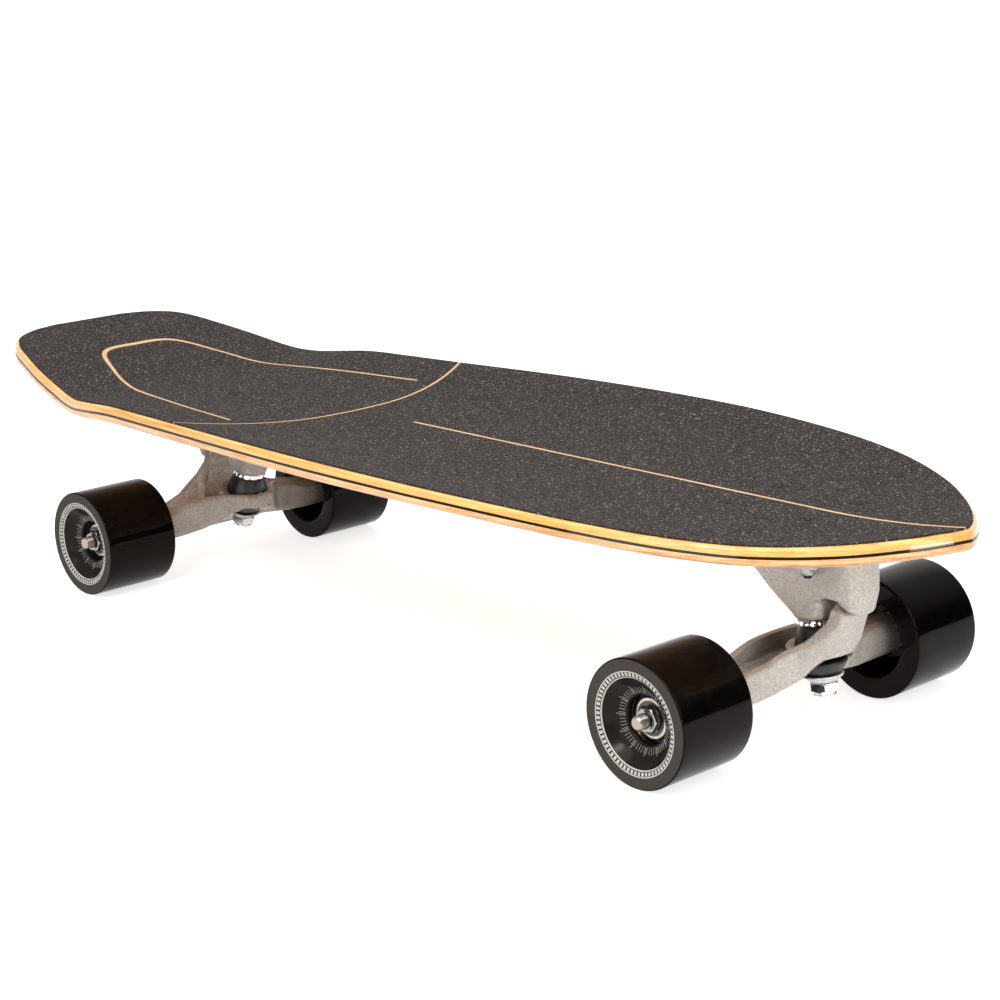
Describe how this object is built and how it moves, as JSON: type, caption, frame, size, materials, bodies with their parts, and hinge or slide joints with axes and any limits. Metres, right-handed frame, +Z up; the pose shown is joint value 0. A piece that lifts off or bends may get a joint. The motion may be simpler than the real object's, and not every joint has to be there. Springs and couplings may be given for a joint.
{
  "type": "surf skateboard",
  "caption": "Pressed maple deck with a kicked tail on cast carving trucks that steer by leaning, with wide soft wheels on ball bearings.",
  "frame": {"origin": "on the ground under the middle of the deck's length and width", "axes": "+X towards the nose, +Y to the rider's left when facing the nose, +Z up"},
  "size_m": [0.794, 0.263, 0.1508],
  "materials": {
    "maple": "clear gloss lacquer over pressed maple plies",
    "grip": "charcoal abrasive sheet",
    "cast": "sand-cast, tumbled",
    "zinc": "bright zinc plate",
    "black_steel": "black oxide",
    "bushing": "black urethane",
    "cup": "black nylon",
    "urethane": "black cast urethane"
  },
  "bodies": {
    "root": {"deck": "maple", "grip_front": "grip", "grip_rear": "grip", "front_baseplate": "cast", "front_pivot_cup": "cup", "front_kingpin": "zinc", "front_kingpin_nut": "zinc", "front_lower_washer": "zinc", "front_upper_washer": "zinc", "front_lower_bushing": "bushing", "front_upper_bushing": "bushing", "front_bolt_left_outer": "black_steel", "front_bolt_nut_left_outer": "zinc", "front_bolt_left_inner": "black_steel", "front_bolt_nut_left_inner": "zinc", "front_bolt_right_outer": "black_steel", "front_bolt_nut_right_outer": "zinc", "front_bolt_right_inner": "black_steel", "front_bolt_nut_right_inner": "zinc", "rear_baseplate": "cast", "rear_pivot_cup": "cup", "rear_kingpin": "zinc", "rear_kingpin_nut": "zinc", "rear_lower_washer": "zinc", "rear_upper_washer": "zinc", "rear_lower_bushing": "bushing", "rear_upper_bushing": "bushing", "rear_bolt_left_outer": "black_steel", "rear_bolt_nut_left_outer": "zinc", "rear_bolt_left_inner": "black_steel", "rear_bolt_nut_left_inner": "zinc", "rear_bolt_right_outer": "black_steel", "rear_bolt_nut_right_outer": "zinc", "rear_bolt_right_inner": "black_steel", "rear_bolt_nut_right_inner": "zinc"},
    "front_truck": {"front_hanger": "cast", "front_axle": "zinc", "front_left_speed_washer": "zinc", "front_left_axle_nut": "zinc", "front_right_speed_washer": "zinc", "front_right_axle_nut": "zinc"},
    "front_left_wheel": {"front_left_wheel": "urethane", "front_left_outer_bearing": "zinc", "front_left_inner_bearing": "zinc"},
    "front_right_wheel": {"front_right_wheel": "urethane", "front_right_outer_bearing": "zinc", "front_right_inner_bearing": "zinc"},
    "rear_truck": {"rear_hanger": "cast", "rear_axle": "zinc", "rear_left_speed_washer": "zinc", "rear_left_axle_nut": "zinc", "rear_right_speed_washer": "zinc", "rear_right_axle_nut": "zinc"},
    "rear_left_wheel": {"rear_left_wheel": "urethane", "rear_left_outer_bearing": "zinc", "rear_left_inner_bearing": "zinc"},
    "rear_right_wheel": {"rear_right_wheel": "urethane", "rear_right_outer_bearing": "zinc", "rear_right_inner_bearing": "zinc"}
  },
  "joints": [
    {"name": "front_steer", "type": "hinge", "parent": "root", "child": "front_truck", "pos_m": [0.3209, 0, 0.0825], "axis": [0.5426, 0, 0.84], "range_deg": [-20, 20], "stiffness_Nm_per_rad": 40, "deforming": ["front_upper_bushing", "front_lower_bushing"]},
    {"name": "front_left_spin", "type": "hinge", "parent": "front_truck", "child": "front_left_wheel", "pos_m": [0.2764, 0.09205, 0.0345], "axis": [0, 1, 0], "continuous": true},
    {"name": "front_right_spin", "type": "hinge", "parent": "front_truck", "child": "front_right_wheel", "pos_m": [0.2764, -0.09205, 0.0345], "axis": [0, 1, 0], "continuous": true},
    {"name": "rear_steer", "type": "hinge", "parent": "root", "child": "rear_truck", "pos_m": [-0.2419, 0, 0.079], "axis": [-0.7341, 0, 0.679], "range_deg": [-20, 20], "stiffness_Nm_per_rad": 40, "deforming": ["rear_upper_bushing", "rear_lower_bushing"]},
    {"name": "rear_left_spin", "type": "hinge", "parent": "rear_truck", "child": "rear_left_wheel", "pos_m": [-0.2334, 0.09205, 0.0345], "axis": [0, 1, 0], "continuous": true},
    {"name": "rear_right_spin", "type": "hinge", "parent": "rear_truck", "child": "rear_right_wheel", "pos_m": [-0.2334, -0.09205, 0.0345], "axis": [0, 1, 0], "continuous": true}
  ]
}
